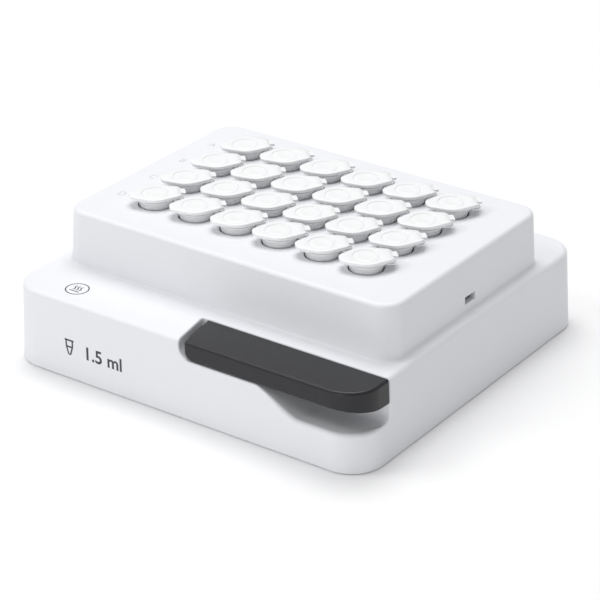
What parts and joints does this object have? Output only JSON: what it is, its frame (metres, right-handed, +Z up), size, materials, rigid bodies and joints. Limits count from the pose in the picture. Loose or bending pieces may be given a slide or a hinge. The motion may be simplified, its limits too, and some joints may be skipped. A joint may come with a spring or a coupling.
{
  "type": "heated microtube block for an orbital mixer",
  "caption": "Two-tier heated tube block that locks onto an orbital laboratory mixer with a lift-up lever and holds capped microtubes in a grid.",
  "frame": {"origin": "middle of the footprint, on the surface that the block stands on", "axes": "+Z up, -Y towards the front long side that carries the lever, +X towards the lever's free end on the right"},
  "size_m": [0.1428, 0.1367, 0.052],
  "materials": {
    "white_plastic": "fine satin moulded",
    "charcoal_plastic": "satin moulded",
    "clear_polypropylene": "translucent, slightly cloudy",
    "anodised_aluminium": "bead-blasted and anodised",
    "insulation_foam": "closed-cell foam",
    "chassis_plastic": "glass-filled, matt",
    "spacer_plastic": "turned",
    "stainless_steel": "pressed and turned"
  },
  "bodies": {
    "block": {"base_housing": "white_plastic", "upper_cover": "white_plastic", "tube_block": "anodised_aluminium", "insulation_frame": "insulation_foam", "chassis_plate": "chassis_plastic", "block_spacer_1": "spacer_plastic", "block_spacer_2": "spacer_plastic", "block_spacer_3": "spacer_plastic", "block_spacer_4": "spacer_plastic", "slide_spring": "stainless_steel", "spring_post_fixed": "stainless_steel", "base_screw_1": "stainless_steel", "base_screw_2": "stainless_steel", "base_screw_3": "stainless_steel", "base_screw_4": "stainless_steel", "block_screw_1": "stainless_steel", "block_screw_2": "stainless_steel", "block_screw_3": "stainless_steel", "block_screw_4": "stainless_steel", "guide_screw_1": "stainless_steel", "guide_screw_2": "stainless_steel", "guide_screw_3": "stainless_steel", "guide_screw_4": "stainless_steel"},
    "lever": {"lever_grip": "charcoal_plastic", "lever_arm": "stainless_steel", "pivot_pin": "stainless_steel", "arm_dowel": "stainless_steel", "drive_pin": "stainless_steel"},
    "slide": {"lock_slide": "stainless_steel", "spring_post_moving": "stainless_steel"},
    "tube_A1": {"tube_A1": "clear_polypropylene"},
    "tube_A2": {"tube_A2": "clear_polypropylene"},
    "tube_A3": {"tube_A3": "clear_polypropylene"},
    "tube_A4": {"tube_A4": "clear_polypropylene"},
    "tube_A5": {"tube_A5": "clear_polypropylene"},
    "tube_A6": {"tube_A6": "clear_polypropylene"},
    "tube_B1": {"tube_B1": "clear_polypropylene"},
    "tube_B2": {"tube_B2": "clear_polypropylene"},
    "tube_B3": {"tube_B3": "clear_polypropylene"},
    "tube_B4": {"tube_B4": "clear_polypropylene"},
    "tube_B5": {"tube_B5": "clear_polypropylene"},
    "tube_B6": {"tube_B6": "clear_polypropylene"},
    "tube_C1": {"tube_C1": "clear_polypropylene"},
    "tube_C2": {"tube_C2": "clear_polypropylene"},
    "tube_C3": {"tube_C3": "clear_polypropylene"},
    "tube_C4": {"tube_C4": "clear_polypropylene"},
    "tube_C5": {"tube_C5": "clear_polypropylene"},
    "tube_C6": {"tube_C6": "clear_polypropylene"},
    "tube_D1": {"tube_D1": "clear_polypropylene"},
    "tube_D2": {"tube_D2": "clear_polypropylene"},
    "tube_D3": {"tube_D3": "clear_polypropylene"},
    "tube_D4": {"tube_D4": "clear_polypropylene"},
    "tube_D5": {"tube_D5": "clear_polypropylene"},
    "tube_D6": {"tube_D6": "clear_polypropylene"}
  },
  "joints": [
    {"name": "lever_hinge", "type": "hinge", "parent": "block", "child": "lever", "pos_m": [0.00498, -0.06044, 0.0249], "axis": [0.1822, -0.9833, 0], "range_deg": [0, 50], "stiffness_Nm_per_rad": 0.044, "springref_deg": -36.67},
    {"name": "slide_travel", "type": "slide", "parent": "block", "child": "slide", "axis": [1, 0, 0], "range_m": [0, 0.0083], "deforming": ["slide_spring"]},
    {"name": "tube_A1_lift", "type": "slide", "parent": "block", "child": "tube_A1", "axis": [0, 0, 1], "range_m": [0, 0.045]},
    {"name": "tube_A2_lift", "type": "slide", "parent": "block", "child": "tube_A2", "axis": [0, 0, 1], "range_m": [0, 0.045]},
    {"name": "tube_A3_lift", "type": "slide", "parent": "block", "child": "tube_A3", "axis": [0, 0, 1], "range_m": [0, 0.045]},
    {"name": "tube_A4_lift", "type": "slide", "parent": "block", "child": "tube_A4", "axis": [0, 0, 1], "range_m": [0, 0.045]},
    {"name": "tube_A5_lift", "type": "slide", "parent": "block", "child": "tube_A5", "axis": [0, 0, 1], "range_m": [0, 0.045]},
    {"name": "tube_A6_lift", "type": "slide", "parent": "block", "child": "tube_A6", "axis": [0, 0, 1], "range_m": [0, 0.045]},
    {"name": "tube_B1_lift", "type": "slide", "parent": "block", "child": "tube_B1", "axis": [0, 0, 1], "range_m": [0, 0.045]},
    {"name": "tube_B2_lift", "type": "slide", "parent": "block", "child": "tube_B2", "axis": [0, 0, 1], "range_m": [0, 0.045]},
    {"name": "tube_B3_lift", "type": "slide", "parent": "block", "child": "tube_B3", "axis": [0, 0, 1], "range_m": [0, 0.045]},
    {"name": "tube_B4_lift", "type": "slide", "parent": "block", "child": "tube_B4", "axis": [0, 0, 1], "range_m": [0, 0.045]},
    {"name": "tube_B5_lift", "type": "slide", "parent": "block", "child": "tube_B5", "axis": [0, 0, 1], "range_m": [0, 0.045]},
    {"name": "tube_B6_lift", "type": "slide", "parent": "block", "child": "tube_B6", "axis": [0, 0, 1], "range_m": [0, 0.045]},
    {"name": "tube_C1_lift", "type": "slide", "parent": "block", "child": "tube_C1", "axis": [0, 0, 1], "range_m": [0, 0.045]},
    {"name": "tube_C2_lift", "type": "slide", "parent": "block", "child": "tube_C2", "axis": [0, 0, 1], "range_m": [0, 0.045]},
    {"name": "tube_C3_lift", "type": "slide", "parent": "block", "child": "tube_C3", "axis": [0, 0, 1], "range_m": [0, 0.045]},
    {"name": "tube_C4_lift", "type": "slide", "parent": "block", "child": "tube_C4", "axis": [0, 0, 1], "range_m": [0, 0.045]},
    {"name": "tube_C5_lift", "type": "slide", "parent": "block", "child": "tube_C5", "axis": [0, 0, 1], "range_m": [0, 0.045]},
    {"name": "tube_C6_lift", "type": "slide", "parent": "block", "child": "tube_C6", "axis": [0, 0, 1], "range_m": [0, 0.045]},
    {"name": "tube_D1_lift", "type": "slide", "parent": "block", "child": "tube_D1", "axis": [0, 0, 1], "range_m": [0, 0.045]},
    {"name": "tube_D2_lift", "type": "slide", "parent": "block", "child": "tube_D2", "axis": [0, 0, 1], "range_m": [0, 0.045]},
    {"name": "tube_D3_lift", "type": "slide", "parent": "block", "child": "tube_D3", "axis": [0, 0, 1], "range_m": [0, 0.045]},
    {"name": "tube_D4_lift", "type": "slide", "parent": "block", "child": "tube_D4", "axis": [0, 0, 1], "range_m": [0, 0.045]},
    {"name": "tube_D5_lift", "type": "slide", "parent": "block", "child": "tube_D5", "axis": [0, 0, 1], "range_m": [0, 0.045]},
    {"name": "tube_D6_lift", "type": "slide", "parent": "block", "child": "tube_D6", "axis": [0, 0, 1], "range_m": [0, 0.045]}
  ],
  "couplings": [
    {"joint": "slide_travel", "follows": "lever_hinge", "m_per_rad": 0.009358}
  ]
}
